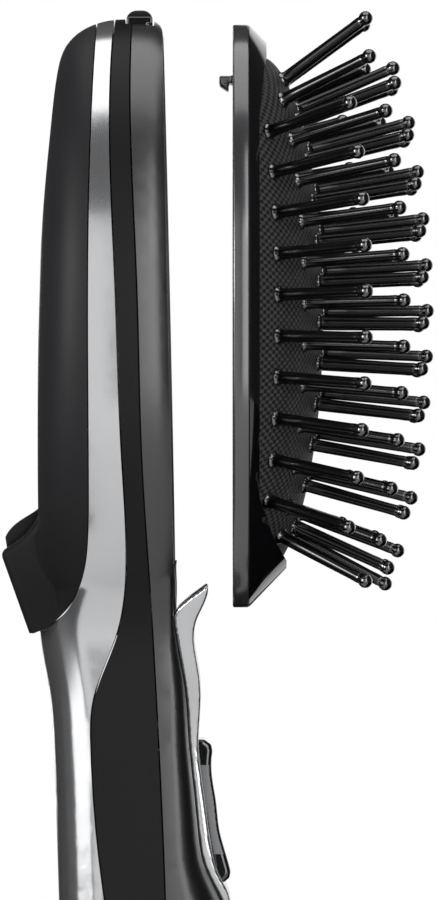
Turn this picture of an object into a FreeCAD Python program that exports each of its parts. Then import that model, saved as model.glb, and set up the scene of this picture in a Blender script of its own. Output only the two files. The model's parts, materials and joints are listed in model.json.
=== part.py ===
"""Ionic styling brush: an upright handle and head with a lift-off bristle pad.

Millimetres. The origin is the middle of the handle's flat end, +Z runs up the handle and
+X is the bristle side. The pad is drawn pulled off the head, as in the photograph.
"""
import FreeCAD, Part
import math
import os

V = FreeCAD.Vector

# Bristle pad
pad_length = 116.5
pad_width = 64.0
plate_thickness = 3.3
bezel_end = 6.25
bezel_side = 3.3
cushion_crown = 13.0
cushion_skirt = 1.8
cushion_wall = 1.6
bezel_side_height = 1.9
bezel_foot_height = 7.4
bezel_top_height = 3.4
hook_width = 8.0
hook_reach = 2.7
hook_neck = 1.4
hook_barb = 1.6
hook_drop = 10.4

# Pins
pin_length = 22.2
pin_root_diameter = 2.5
pin_tip_diameter = 2.2
pin_ball_diameter = 2.9
pin_head_diameter = 4.1
pin_head_thickness = 0.9
pin_head_drop = 0.5
pin_pitch = 8.07
pin_spread = 49.5
pin_columns = 7
pin_first = (10.7, 5.0, 9.4, 16.1)
pin_bow = 3.0
pin_splay = 0.9
pin_fan = 1.3
pin_margin = 0.912
pin_end = 8.2

# Head and handle
handle_length = 115.6
handle_width = 30.0
ring_width = 2.45
head_back = -19.45
head_front = 6.75
back_lean = 1.53
front_lean = -1.34
dish_depth = 12.0
dish_inset = 10.0
ring_draw = 2.0
ring_depth = 6.5
grip_round = 0.62
least_round = 0.4
wall = 2.0
hump_width = 30.0
hump_reach = 8.0
hump_round = 1.6

# Seat and pull of the pad
seat_x = 2.66
seat_thickness = 2.2
pull_length = 16.0
pull_angle = 7.0
shelf_thickness = 1.5

# Release button and its latch
button_width = 14.0
button_depth = 5.2
button_proud = 1.9
button_flange = 1.2
flange_drop = 2.6
button_travel = 1.6
latch_thickness = 1.5
latch_width = 10.0
latch_tail = 5.5
spring_diameter = 3.6
spring_wire = 0.5
spring_length = 8.0
spring_turns = 5
coil_runs = 16

# Switch
slider_width = 12.6
slider_length = 28.4
slider_travel = 5.0
slider_round = 0.8
slide_slope = 0.16
stem_width = 4.0
stem_length = 8.0
switch_width = 9.0
switch_height = 4.6

# Ion outlet and generator
grille_width = 18.0
grille_pitch = 0.8
grille_slot = 0.4
grille_slots = 7
needle_diameter = 0.8
needle_length = 4.2
holder_size = 5.0
module_width = 22.0
module_depth = 9.0
module_height = 30.0

# Power
cell_diameter = 10.5
cell_length = 43.7
cell_nub_diameter = 3.8
cell_nub_height = 0.8
cell_base_z = 11.0
cell_x = -4.2
tray_floor = 1.5
contact_thickness = 0.4
contact_width = 4.0
board_thickness = 1.6
board_width = 20.0
board_length = 46.0
lead_diameter = 1.3
lead_y = 4.0
door_top = 58.0

# Fasteners
screw_shank = 2.6
screw_length = 9.0
screw_head_diameter = 5.0
screw_head_height = 1.2
pillar_diameter = 7.0
pillar_across = 0.594
pillar_along = 0.412
boss_diameter = 5.0
boss_y = 6.0
boss_depth = 4.6

# Clearances
seam = 0.3
pad_gap = 0.5
pad_lift = 0.3
pin_gap = 0.08
slide_gap = 0.3
fit_gap = 0.15
cell_gap = 0.3

# Places worked out from the sizes above
cushion_length = pad_length - 2 * bezel_end
cushion_width = pad_width - 2 * bezel_side
head_half_length = pad_length / 2 + pad_gap + ring_width
head_half_width = pad_width / 2 + pad_gap + ring_width
neck = handle_length
head_mid = neck + head_half_length
head_top = head_mid + head_half_length
grip_half = handle_width / 2
FAR = 80.0
pull = V(math.cos(math.radians(pull_angle)), 0, math.sin(math.radians(pull_angle)))
pad_shift = pull * pull_length
pad_mid = head_mid + pad_shift.z
plate_x = seat_x + pad_shift.x
pad_face = plate_x + plate_thickness
cushion_base = pad_face + cushion_skirt
seat_face = seat_x - pad_lift
seat_back = seat_face - seat_thickness
post_start = head_back + wall / 2


def box(x0, x1, y0, y1, z0, z1):
    return Part.makeBox(x1 - x0, y1 - y0, z1 - z0, V(x0, y0, z0))


def rod(start, direction, diameter, length):
    return Part.makeCylinder(diameter / 2, length, start, direction)


def spline(points):
    curve = Part.BSplineCurve()
    curve.interpolate(points)
    return curve.toShape()


def side_points(pairs):
    return [V(x, 0, z) for x, z in pairs]


def line(a, b):
    return Part.LineSegment(a, b).toShape()


def chain(points):
    return [line(a, b) for a, b in zip(points, points[1:])]


def across(edges, half_width):
    """A side outline made a block that reaches half_width to both sides."""
    face = Part.Face(Part.Wire(Part.__sortEdges__(edges)))
    block = face.extrude(V(0, 2 * half_width, 0))
    block.translate(V(0, -half_width, 0))
    return block


def oval(half_length, half_width, x, z, lean=0.0):
    """An upright ellipse facing +X, leaning about its own middle."""
    wire = Part.Wire([Part.Ellipse(V(0, 0, 0), half_length, half_width).toShape()])
    wire.Placement = FreeCAD.Placement(V(x, 0, z), FreeCAD.Rotation(V(0, 1, 0), lean - 90))
    return wire


def oval_block(half_length, half_width, x0, x1, z, direction=V(1, 0, 0)):
    face = Part.Face(oval(half_length, half_width, x0, z))
    return face.extrude(direction * ((x1 - x0) / direction.x))


def loft(wires, ruled=False):
    return Part.makeLoft(wires, True, ruled)


# Outer form of head and handle

def head_dish(inset):
    """The head: ovals that draw in towards the back and roll over at the front ring."""
    back = head_back + inset
    front = head_front - inset
    rows = []
    for angle in (0, 22, 45, 67, 90):
        turn = math.radians(angle)
        rows.append((back + dish_depth * (1 - math.cos(turn)), dish_inset * (1 - math.sin(turn))))
    for angle in (90, 60, 30):
        turn = math.radians(angle)
        rows.append((front - ring_depth * (1 - math.cos(turn)), ring_draw * (1 - math.sin(turn))))
    wires = []
    for x, draw in rows:
        share = (x - back) / (front - back)
        lean = back_lean + (front_lean - back_lean) * share
        less = draw + inset
        wires.append(oval(head_half_length - less, head_half_width - less, x, head_mid, lean))
    return loft(wires)


def head_side(inset):
    """The head seen from the side, as one curve up the back, over the top and down the front."""
    back = [(-19.75, neck - 4), (-19.75, neck + 22), (-19.65, head_top - 76), (-19.35, head_top - 55),
            (-18.7, head_top - 40), (-17.2, head_top - 22), (-16.1, head_top - 11.5)]
    top = [(-14.6, head_top - 6.2), (-11.6, head_top - 2.9), (-8.4, head_top - 1.2),
           (-4.6, head_top - 0.2), (-0.6, head_top), (2.6, head_top - 0.3), (4.1, head_top - 1.6)]
    front = [(4.7, head_top - 5), (5.5, head_top - 19), (6.7, head_top - 56), (7.25, neck + 36),
             (7.3, neck - 4)]
    points = [(x + inset, z) for x, z in back]
    points += [(x + inset * (1 if x < -8 else 0 if x < 2 else -1), z - inset) for x, z in top]
    points += [(x - inset, z) for x, z in front]
    curve = side_points(points)
    return across([spline(curve), line(curve[-1], curve[0])], FAR)


def grip_section(z, back, front, half, back_round, front_round):
    """A handle section: a box with rounded corners, rounder at the back."""
    b, f = back_round, front_round
    b_mid, f_mid = b * (1 - math.sqrt(0.5)), f * (1 - math.sqrt(0.5))
    stops = [(back, -half + b), (back, half - b), (back + b, half), (front - f, half),
             (front, half - f), (front, -half + f), (front - f, -half), (back + b, -half)]
    mids = [None, (back + b_mid, half - b_mid), None, (front - f_mid, half - f_mid),
            None, (front - f_mid, -half + f_mid), None, (back + b_mid, -half + b_mid)]
    edges = []
    for index, mid in enumerate(mids):
        a = V(*stops[index], z)
        c = V(*stops[(index + 1) % len(stops)], z)
        edges.append(line(a, c) if mid is None else Part.Arc(a, V(*mid, z), c).toShape())
    return Part.Wire(edges)


def grip(inset):
    """The handle and the flared neck, as sections up the handle: height, back, front, added half width."""
    heel = neck - 62
    rows = [(0.0, -8.0, 8.0, -6.0), (2.5, -10.2, 10.8, -3.2), (7.0, -11.9, 12.9, -1.5),
            (0.3 * heel, -13.1, 15.2, -0.4), (0.56 * heel, -14.6, 18.0, 0.0), (0.82 * heel, -15.3, 19.3, 0.0),
            (heel, -15.7, 19.1, 0.0), (neck - 56, -15.95, 17.4, 0.0), (neck - 51, -16.1, 15.1, 0.0),
            (neck - 46, -16.25, 12.8, 0.0), (neck - 41, -16.4, 11.8, 0.0), (neck - 32, -16.65, 10.9, 0.0),
            (neck - 21, -17.15, 9.75, 0.0), (neck - 11, -18.0, 9.05, 0.0), (neck - 4, -19.3, 7.9, 0.15),
            (neck + 1.5, -20.1, 7.25, 0.75), (neck + 6, -20.0, 7.25, 2.0), (neck + 10, -19.2, 7.25, 3.9),
            (neck + 14, -18.0, 7.25, 5.6)]
    wires = []
    for z, back, front, wider in rows:
        half = grip_half + wider - inset
        height = z + inset if z == 0 else z
        corner = max(grip_round * (front - 4.5) - inset, least_round)
        wires.append(grip_section(height, back + inset, front - inset, half, 0.58 * half, corner))
    return loft(wires)


def hump(inset):
    """The housing of the ion outlet low on the back of the head."""
    back = head_back - hump_reach + inset
    crest = [(-19.5, 25.5 - inset), (-21.1, 21.4 - inset), (-23.4, 19 - inset), (back, 16.3 - inset)]
    foot = [(back, 16.3 - inset), (-21.7 + inset, 0.2), (-10, 0.2), (-10, 25.5 - inset), (-19.5, 25.5 - inset)]
    block = across([spline(side_points(crest))] + chain(side_points(foot)), hump_width / 2 - inset)
    if inset == 0:
        rim = [e for e in block.Edges if e.CenterOfMass.x < -20 and e.CenterOfMass.z > 1]
        block = block.makeFillet(hump_round, rim)
    block.translate(V(0, 0, neck))
    return block


# Lines that part the shells, as seen from the side

REAR_LINE = [(-8.2, head_top + 6), (-8.9, head_top - 10), (-9.5, head_top - 30), (-9.75, head_top - 60),
             (-9.7, neck + 30), (-9.9, neck + 20), (-10.6, neck + 13.5), (-12.4, neck + 8), (-15.2, neck + 3.7),
             (-18.6, neck + 1.1), (-23.5, neck - 0.6), (-29.0, neck - 1.5)]
SILVER_LINE = [(-4.5, head_top + 6), (-5.2, head_top - 4), (-5.6, head_top - 20), (-4.3, head_top - 56),
               (-3.2, neck + 36), (-2.4, neck + 19), (-2.6, neck + 10), (-4.2, neck + 0.5), (-6.6, neck - 6),
               (-9.0, neck - 13), (-9.5, neck - 22), (-9.2, neck - 29), (-7.8, neck - 45), (-6.2, neck - 57),
               (-4.0, 36.0), (-3.2, 16.0), (-3.0, -6.0)]
FRONT_LINE = [(-1.1, head_top + 6), (-1.6, head_top - 20), (-0.1, head_top - 56), (0.7, neck + 36),
              (1.8, neck + 16), (3.5, neck - 14), (4.9, neck - 44), (5.8, 36.0), (5.6, -6.0)]


def behind(points, shift):
    """Everything behind a parting line that is moved forwards by shift."""
    curve = side_points([(x + shift, z) for x, z in points])
    corners = [curve[-1], V(-FAR, 0, curve[-1].z), V(-FAR, 0, curve[0].z), curve[0]]
    return across([spline(curve)] + chain(corners), FAR)


def envelope(inset):
    """Head, grip and hump in one; the hump ends at the rear cover's parting line."""
    head = head_dish(inset).common(head_side(inset))
    seat = behind([(x, z + inset) for x, z in REAR_LINE], -inset)
    return head.fuse([grip(inset), hump(inset).common(seat)])


outer = envelope(0.0)
inner = envelope(wall)
core = envelope(wall + fit_gap)
casing = outer.cut(inner)
half_seam = seam / 2
parts = {}


# Head: where the pad sits, and what holds and frees it

pad_path = oval_block(pad_length / 2 + pad_gap, pad_width / 2 + pad_gap, seat_face, FAR,
                      head_mid - pad_lift * math.tan(math.radians(pull_angle)), pull)
hook_z = head_mid + pad_length / 2 - hook_drop
tooth_top = hook_z - hook_neck - hook_barb - slide_gap
tooth_low = tooth_top - hook_neck
latch_front = seat_back - slide_gap
latch_back = latch_front - latch_thickness
foot_low = tooth_low - latch_tail
shelf_top = foot_low - spring_length
flange_top = head_top - wall - flange_drop
flange_low = flange_top - button_flange
flange_half = button_width / 2 + 1.3
stem_front = 1.6
spring_x = latch_front - spring_diameter / 2 - slide_gap


def screw_places():
    y, rise = pillar_across * pad_width / 2, pillar_along * pad_length / 2
    return [V(seat_face, side * y, head_mid + end * rise) for side in (-1, 1) for end in (-1, 1)]


def pad_seat():
    """The tray behind the pad, with a slot for the hook and a shelf for the release spring."""
    tray = oval_block(head_half_length, head_half_width, seat_back, seat_face, head_mid).common(core)
    tray = tray.cut(box(seat_back - 1, seat_face + 1, -FAR, FAR, 0, neck + wall + 1))
    shelf = box(spring_x - spring_diameter / 2 - 0.6, seat_back, -spring_diameter, spring_diameter,
                shelf_top - shelf_thickness, shelf_top)
    slot = box(seat_back - 1, seat_face + 1, -hook_width / 2 - pad_gap, hook_width / 2 + pad_gap,
               tooth_low - button_travel - slide_gap, hook_z + pad_gap)
    notch = box(seat_back - 1, seat_face + 1, -flange_half - pad_gap, flange_half + pad_gap,
                flange_low - button_travel - pad_gap, head_top)
    tray = tray.fuse(shelf).cut(slot.fuse(notch))
    for place in screw_places():
        tray = tray.cut(rod(place, V(-1, 0, 0), screw_head_diameter + 2 * fit_gap, screw_head_height + fit_gap))
        tray = tray.cut(rod(place, V(-1, 0, 0), screw_shank + 2 * fit_gap, seat_thickness + 1))
    return tray


def case_screws():
    screws = []
    for place in screw_places():
        top = place - V(fit_gap, 0, 0)
        head = rod(top, V(-1, 0, 0), screw_head_diameter, screw_head_height)
        screws.append(head.fuse(rod(top, V(-1, 0, 0), screw_shank, screw_head_height + screw_length)))
    return Part.makeCompound(screws)


def pillars():
    """Posts inside the rear cover that take the screws."""
    posts = []
    for place in screw_places():
        post = rod(V(post_start, place.y, place.z), V(1, 0, 0), pillar_diameter, seat_back - post_start)
        hole = rod(V(seat_back, place.y, place.z), V(-1, 0, 0), screw_shank + 2 * pin_gap, screw_length + 1)
        posts.append(post.common(outer).cut(hole))
    return posts


def release_button():
    """The rounded key on top of the head, with a stem and a flange that keeps it in."""
    half = button_width / 2
    rise = [V(-button_depth / 2, 0, head_top - 1.2), V(-0.45, 0, head_top + button_proud),
            V(button_depth / 2, 0, head_top - 1.2)]
    shoulder = [V(-button_depth / 2, 0, head_top - 0.1), V(button_depth / 2, 0, head_top - 0.1)]
    edges = [line(rise[0], shoulder[0]), Part.Arc(shoulder[0], rise[1], shoulder[1]).toShape(),
             line(shoulder[1], rise[2]), line(rise[2], rise[0])]
    cap = across(edges, half)
    bow = rod(V(-FAR, 0, head_top + button_proud - 2 * half), V(1, 0, 0), 4 * half, 2 * FAR)
    stem = box(-button_depth / 2, stem_front, -half, half, flange_low, head_top - 1.2)
    flange = box(-button_depth / 2 - 0.8, stem_front, -flange_half, flange_half, flange_low, flange_top)
    return cap.common(bow).fuse([stem, flange]).removeSplitter()


def button_slot():
    half = button_width / 2 + slide_gap
    return box(-button_depth / 2 - slide_gap, button_depth / 2 + slide_gap, -half, half,
               flange_low - 1, head_top + FAR)


def latch_bar():
    """Hangs from the button behind the tray; its tooth stands below the hook."""
    bar = box(latch_back, latch_front, -latch_width / 2, latch_width / 2, foot_low, flange_low)
    tooth = box(latch_front, seat_face - slide_gap, -hook_width / 2 + 1, hook_width / 2 - 1,
                tooth_low, tooth_top)
    foot = box(spring_x - spring_diameter / 2, latch_front, -spring_diameter / 2, spring_diameter / 2,
               foot_low, foot_low + latch_thickness)
    return bar.fuse([tooth, foot]).removeSplitter()


def release_spring():
    """A coil between the shelf and the foot of the latch bar, as short mitred runs of wire."""
    radius = (spring_diameter - spring_wire) / 2
    runs = spring_turns * coil_runs
    points = []
    for index in range(runs + 1):
        turn = 2 * math.pi * index / coil_runs
        height = (spring_length - spring_wire) * index / runs
        points.append(V(radius * math.cos(turn), radius * math.sin(turn), height))
    section = Part.Wire([Part.makeCircle(spring_wire / 2, points[0], points[1] - points[0])])
    coil = Part.makePolygon(points).makePipeShell([section], True, False, 1)
    coil.translate(V(spring_x, 0, shelf_top + spring_wire / 2))
    return coil


# Switch, with its silver collar on the front of the handle

slide_top = neck - 21.2
slide_low = slide_top - slider_length
slide_x = 10.6
stem_mid = slide_top - 13.8
slide_up = V(-slide_slope, 0, 1).normalize()
board_back = 1.0
board_front = board_back + board_thickness
switch_front = board_front + switch_height
stem_tip = switch_front - 0.8


def track(z):
    """X of the channel's floor, which leans along the way the slider moves."""
    return slide_x + slide_slope * (slide_top - z)


def stem_room(x0, x1, gap, travel):
    return box(x0, x1, -stem_width / 2 - gap, stem_width / 2 + gap,
               stem_mid - stem_length / 2 - gap, stem_mid + stem_length / 2 + gap + travel)


def channel():
    low = slide_low - slide_gap
    high = slide_top + slider_travel + 2 * slide_gap
    corners = [V(track(low), 0, low), V(track(high), 0, high), V(FAR, 0, high), V(FAR, 0, low),
               V(track(low), 0, low)]
    return across(chain(corners), slider_width / 2 + slide_gap)


def switch_slider():
    """The finger key: a lip at each end and a hollow between, on a stem that reaches the switch."""
    low, high = slide_low, slide_top
    base = [V(track(low) + slide_gap, 0, low), V(track(high) + slide_gap, 0, high)]
    crown = side_points([(14.55, high - 2.3), (14.4, high - 6.8), (15.25, high - 12.4), (15.95, high - 18.2),
                         (16.85, high - 21.6), (18.15, high - 26.2)])
    top = [base[1], V(12.9, 0, high), V(14.3, 0, high - 1), crown[0]]
    tail = [crown[-1], V(17.9, 0, low + 0.9), V(16.9, 0, low), base[0], base[1]]
    block = across(chain(top) + [spline(crown)] + chain(tail), slider_width / 2)
    rim = [e for e in block.Edges
           if abs(e.CenterOfMass.y) > 1 and e.CenterOfMass.x > track(e.CenterOfMass.z) + 1.2]
    block = block.makeFillet(slider_round, rim)
    return block.fuse(stem_room(stem_tip, track(stem_mid) + 1, 0, 0)).removeSplitter()


def switch_collar():
    """A tulip of metal-look trim: two horns beside the pad's foot, narrowing round the switch."""
    edge = side_points([(13.75, neck + 9.0), (12.5, neck + 5.2), (11.4, neck + 2.8), (10.9, neck - 0.6),
                        (11.2, neck - 3.8), (11.95, neck - 8.2), (12.2, neck - 11.4), (11.95, neck - 17.6),
                        (11.75, neck - 22.2), (12.3, neck - 28), (13.25, neck - 34.8), (14.15, neck - 41.6),
                        (14.9, neck - 45.2), (15.9, neck - 48.2), (17.3, neck - 50.6), (18.2, neck - 54.5),
                        (17.6, neck - 60)])
    inside = side_points([(17.6, neck - 60), (12, neck - 60), (8.5, neck - 30), (7.6, neck - 12),
                          (6.2, neck - 2), (6.3, neck + 2.5), (6.9, neck + 3.6), (7.6, neck + 5),
                          (10.2, neck + 7.2), (13.5, neck + 9.6), (13.75, neck + 9.0)])
    block = across([spline(edge)] + chain(inside), FAR)
    flank = [(17.9, neck + 10), (16.3, neck + 5), (14.7, neck + 0.5), (12.7, neck - 7), (10.8, neck - 14),
             (9.6, neck - 22), (9.1, neck - 34), (8.6, neck - 47), (6.8, neck - 56), (4.4, neck - 61)]
    right = [V(0, y, z) for y, z in flank]
    left = [V(0, -y, z) for y, z in flank]
    edges = [spline(right), line(right[-1], left[-1]), spline(left), line(left[0], right[0])]
    face = Part.Face(Part.Wire(Part.__sortEdges__(edges)))
    block = block.common(face.extrude(V(FAR, 0, 0)))
    block = block.cut(outer).cut(pad_path).cut(channel())
    return block.cut(stem_room(0, FAR, slide_gap, slider_travel))


def switch_block():
    low = stem_mid - stem_length / 2 - slide_gap - 2
    high = stem_mid + stem_length / 2 + slide_gap + slider_travel + 2
    block = box(board_front, switch_front, -switch_width / 2, switch_width / 2, low, high)
    floor = stem_tip - slide_slope * slider_travel - slide_gap
    return block.cut(stem_room(floor, FAR, slide_gap, slider_travel))


# Power: two cells in a tray behind the battery cover

cells_high = cell_length + cell_nub_height
tray_low = cell_base_z - contact_thickness - tray_floor
tray_top = cell_base_z + cells_high + contact_thickness + tray_floor
cell_y = cell_diameter / 2 + cell_gap
bay = cell_diameter + 2 * cell_gap


def cell(side, nub_up):
    body_z = cell_base_z if nub_up else cell_base_z + cell_nub_height
    nub_z = cell_base_z + cell_length if nub_up else cell_base_z
    body = rod(V(cell_x, side * cell_y, body_z), V(0, 0, 1), cell_diameter, cell_length)
    nub = rod(V(cell_x, side * cell_y, nub_z), V(0, 0, 1), cell_nub_diameter, cell_nub_height)
    return body.fuse(nub)


def battery_tray():
    front = cell_x + bay / 2 + tray_floor
    block = box(cell_x - 2, max(front, board_front), -FAR, FAR, tray_low, tray_top).common(core)
    bay_low = cell_base_z - contact_thickness
    bay_top = tray_top - tray_floor
    for side in (-1, 1):
        block = block.cut(rod(V(cell_x, side * cell_y, bay_low), V(0, 0, 1), bay, bay_top - bay_low))
        block = block.cut(tab_room(side, fit_gap))
    block = block.cut(box(-FAR, cell_x, -bay, bay, bay_low, bay_top))
    return block.cut(contact_bridge())


def tab_room(side, gap):
    y = side * cell_y
    half = contact_width / 2 + gap
    return box(board_back - contact_thickness - gap, board_back + gap, y - half, y + half,
               tray_top - tray_floor - contact_thickness, tray_top + contact_width)


def cell_contact(side):
    """A bent strip on the upper end of a cell, with a tab up to the board."""
    z = tray_top - tray_floor - contact_thickness
    y = side * cell_y
    half = contact_width / 2
    strip = box(cell_x - 3, board_back, y - half, y + half, z, z + contact_thickness)
    return strip.fuse(tab_room(side, 0)).removeSplitter()


def contact_bridge():
    z = cell_base_z - contact_thickness
    return box(cell_x - 3, cell_x + 3, -cell_y - 3, cell_y + 3, z, cell_base_z)


def main_board():
    board = box(board_back, board_front, -board_width / 2, board_width / 2, tray_top, tray_top + board_length)
    for place in boss_places():
        board = board.cut(rod(place - V(1, 0, 0), V(1, 0, 0), screw_shank + 2 * fit_gap, board_thickness + 2))
    return board


def boss_places():
    return [V(board_back, y, tray_top + board_length - 8) for y in (-boss_y, boss_y)]


def board_bosses():
    bosses = []
    for place in boss_places():
        foot = V(board_front, place.y, place.z)
        post = rod(foot, V(1, 0, 0), boss_diameter, FAR).common(outer)
        bosses.append(post.cut(rod(foot, V(1, 0, 0), screw_shank + 2 * pin_gap, boss_depth)))
    return bosses


def board_screws():
    screws = []
    for place in boss_places():
        head = rod(place, V(-1, 0, 0), screw_head_diameter, screw_head_height)
        screws.append(head.fuse(rod(place, V(1, 0, 0), screw_shank, board_thickness + 4)))
    return Part.makeCompound(screws)


# Ion generator, needle and outlet

module_back = -15.0
module_low = neck + 8
module_front = module_back + module_depth
holder_top = neck + 17


def ion_module():
    return box(module_back, module_front, -module_width / 2, module_width / 2,
               module_low, module_low + module_height)


def module_posts():
    z = module_low + module_height - boss_diameter
    return [rod(V(post_start, y, z), V(1, 0, 0), boss_diameter, module_back - post_start).common(outer)
            for y in (-boss_y, boss_y)]


def needle_holder():
    return box(module_back - holder_size, module_back, -lead_y, lead_y, holder_top - holder_size, holder_top)


def ion_needle():
    aim = V(-0.55, 0, 0.83).normalize()
    foot = V(module_back - holder_size + needle_diameter, 0, holder_top)
    shaft = Part.makeCone(needle_diameter / 2, needle_diameter / 8, needle_length, foot, aim)
    return shaft.cut(needle_holder())


def lead_wires():
    """Two short leads from the board up to the generator."""
    leads = []
    for y in (-lead_y, lead_y):
        start = V(board_back + board_thickness / 2, y, tray_top + board_length - 1)
        end = V(module_front - 2, y, module_low + 1)
        lead = rod(start, end - start, lead_diameter, (end - start).Length)
        leads.append(lead.cut(main_board()).cut(ion_module()))
    return Part.makeCompound(leads)


def outlet_window():
    half = grille_width / 2 - 1.5
    return box(-25.3, -20.6, -half, half, neck + 15, neck + 30)


def ion_grille():
    """A louvre strip on the slope of the hump."""
    crest = side_points([(-19.3, neck + 25.6), (-21.0, neck + 24.1), (-23.4, neck + 22.6), (-26.2, neck + 19.9),
                         (-26.6, neck + 19.1)])
    under = [crest[-1], V(-26.0, 0, neck + 15), V(-18, 0, neck + 15), V(-18, 0, neck + 25.6), crest[0]]
    strip = across([spline(crest)] + chain(under), grille_width / 2).cut(outer)
    along = V(-6.2, 0, -4.6).normalize()
    first = V(-20.9, 0, neck + 23.4)
    half = grille_width / 2 - 2
    for index in range(grille_slots):
        slot = Part.makeBox(grille_slot, 2 * half, 8, V(-grille_slot / 2, -half, -4))
        slot.rotate(V(0, 0, 0), V(0, 1, 0), -36)
        slot.translate(first + along * (grille_pitch * index))
        strip = strip.cut(slot)
    return strip


# Bristle pad, drawn where it has been pulled to

def cushion_form(grow, floor):
    """A crowned dome on an oval foot: arcs across the pad, each as high as an ellipse along it."""
    wires = []
    for angle in (-80, -64, -46, -24, 0, 24, 46, 64, 80):
        share = math.cos(math.radians(angle))
        z = pad_mid + (cushion_length / 2 + grow) * math.sin(math.radians(angle))
        half = (cushion_width / 2 + grow) * share
        top = cushion_base + (cushion_crown + grow) * share
        left, right = V(cushion_base, -half, z), V(cushion_base, half, z)
        edges = [Part.Arc(left, V(top, 0, z), right).toShape()]
        edges += chain([right, V(floor, half, z), V(floor, -half, z), left])
        wires.append(Part.Wire(edges))
    return loft(wires)


def dome_point(y, z):
    """Where the dome is at y and z from the pad's middle, and which way a pin points there."""
    half = cushion_length / 2
    arc = ((cushion_width / 2) ** 2 + cushion_crown ** 2) / (2 * cushion_crown)
    share = math.sqrt(1 - (z / half) ** 2)
    root = math.sqrt((arc * share) ** 2 - y ** 2)
    x = cushion_base - (arc - cushion_crown) * share + root
    aside = pin_splay * math.atan2(y, root)
    upward = pin_fan * math.atan(cushion_crown * z / (half ** 2 * share))
    facing = V(math.cos(aside) * math.cos(upward), math.sin(aside), math.cos(aside) * math.sin(upward))
    return V(x, y, pad_mid + z), facing


def pin_places(column):
    """Roots of one column of pins; the columns draw together towards both ends of the cushion."""
    half = cushion_length / 2
    z = half - pin_first[abs(column)]
    places = []
    while z > -half:
        held = max(z, pin_end - half)
        bow = math.sqrt(1 - (held / (half + pin_bow)) ** 2)
        y = column / (pin_columns // 2) * pin_spread / 2 * bow
        if (z / half) ** 2 + (2 * y / cushion_width) ** 2 < pin_margin:
            places.append(dome_point(y, held))
        z -= pin_pitch
    return places


def pin(root, facing):
    """A tapered pin with a ball tip, and a head that bears on the inside of the cushion."""
    under = cushion_wall + pin_head_drop
    ball = pin_ball_diameter / 2
    start = root - facing * (under + pin_head_thickness)
    head = rod(start, facing, pin_head_diameter, pin_head_thickness)
    neck_part = rod(root - facing * under, facing, pin_root_diameter, under)
    shaft = Part.makeCone(pin_root_diameter / 2, pin_tip_diameter / 2, pin_length - ball, root, facing)
    tip = Part.makeSphere(ball, root + facing * (pin_length - ball))
    return head.fuse([neck_part, shaft, tip]).removeSplitter()


def cushion():
    dome = cushion_form(0.0, pad_face).cut(cushion_form(-cushion_wall, pad_face - 1))
    holes = []
    for column in range(-(pin_columns // 2), pin_columns // 2 + 1):
        for root, facing in pin_places(column):
            start = root - facing * (2 * cushion_wall)
            holes.append(rod(start, facing, pin_root_diameter + 2 * pin_gap, 4 * cushion_wall))
    return dome.cut(Part.makeCompound(holes))


def pad_bezel():
    """A sloped collar round the cushion, low at the sides and higher at both ends."""
    foot = oval(pad_length / 2, pad_width / 2, pad_face, pad_mid)
    brow = oval(cushion_length / 2 - 1.5, cushion_width / 2 - 0.3, pad_face + bezel_foot_height + 0.2, pad_mid)
    cone = loft([foot, brow], True)
    side = pad_face + bezel_side_height
    low = pad_face + bezel_foot_height
    high = pad_face + bezel_top_height
    end = pad_length / 2
    crest = side_points([(low, pad_mid - end + 9.5), (low - 2.6, pad_mid - end + 14),
                         (side, pad_mid - end + 22), (side, pad_mid + end - 20),
                         (high - 0.5, pad_mid + end - 10), (high, pad_mid + end - 7)])
    rest = [crest[-1], V(high, 0, pad_mid + end + 1), V(pad_face - 1, 0, pad_mid + end + 1),
            V(pad_face - 1, 0, pad_mid - end - 1), V(low, 0, pad_mid - end - 1), crest[0]]
    saddle = across(chain(crest) + chain(rest), FAR)
    return cone.common(saddle).cut(cushion_form(fit_gap, pad_face - 1))


def pad_plate():
    plate = oval_block(pad_length / 2, pad_width / 2, plate_x, pad_face, pad_mid)
    top = pad_mid + hook_z - head_mid
    reach = plate_x - hook_reach
    barb = plate_x - 0.8
    profile = [V(pad_face - 1, 0, top), V(reach, 0, top), V(reach, 0, top - hook_neck - 0.3),
               V(barb, 0, top - hook_neck - hook_barb), V(barb, 0, top - hook_neck),
               V(pad_face - 1, 0, top - hook_neck), V(pad_face - 1, 0, top)]
    return plate.fuse(across(chain(profile), hook_width / 2)).removeSplitter()


# The casing, parted along its seams

silver_shell = casing.common(behind(SILVER_LINE, -half_seam).cut(behind(REAR_LINE, half_seam)))
rear_shell = casing.common(behind(REAR_LINE, -half_seam))
front_shell = casing.cut(behind(FRONT_LINE, half_seam))
parts["rear_cover"] = rear_shell.fuse(pillars() + module_posts()).cut(outlet_window())
parts["silver_frame"] = silver_shell.common(box(-FAR, FAR, -FAR, FAR, door_top + half_seam, 4 * FAR))
parts["battery_cover"] = silver_shell.common(box(-FAR, FAR, -FAR, FAR, -1, door_top - half_seam))
mid_band = behind(FRONT_LINE, -half_seam).cut(behind(SILVER_LINE, half_seam))
parts["mid_shell"] = casing.common(mid_band).cut(button_slot())
parts["front_shell"] = front_shell.fuse(board_bosses()).cut(
    pad_path.fuse([button_slot(), stem_room(0, FAR, slide_gap, slider_travel)]))
parts["pad_seat"] = pad_seat()
parts["case_screws"] = case_screws()
parts["release_button"] = release_button()
parts["latch_bar"] = latch_bar()
parts["release_spring"] = release_spring()
parts["switch_collar"] = switch_collar()
parts["switch_slider"] = switch_slider()
parts["switch_block"] = switch_block()
parts["main_board"] = main_board()
parts["board_screws"] = board_screws()
parts["battery_tray"] = battery_tray()
parts["cell_left"] = cell(-1, True)
parts["cell_right"] = cell(1, False)
parts["contact_left"] = cell_contact(-1)
parts["contact_right"] = cell_contact(1)
parts["contact_bridge"] = contact_bridge()
parts["ion_module"] = ion_module()
parts["needle_holder"] = needle_holder()
parts["ion_needle"] = ion_needle()
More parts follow.
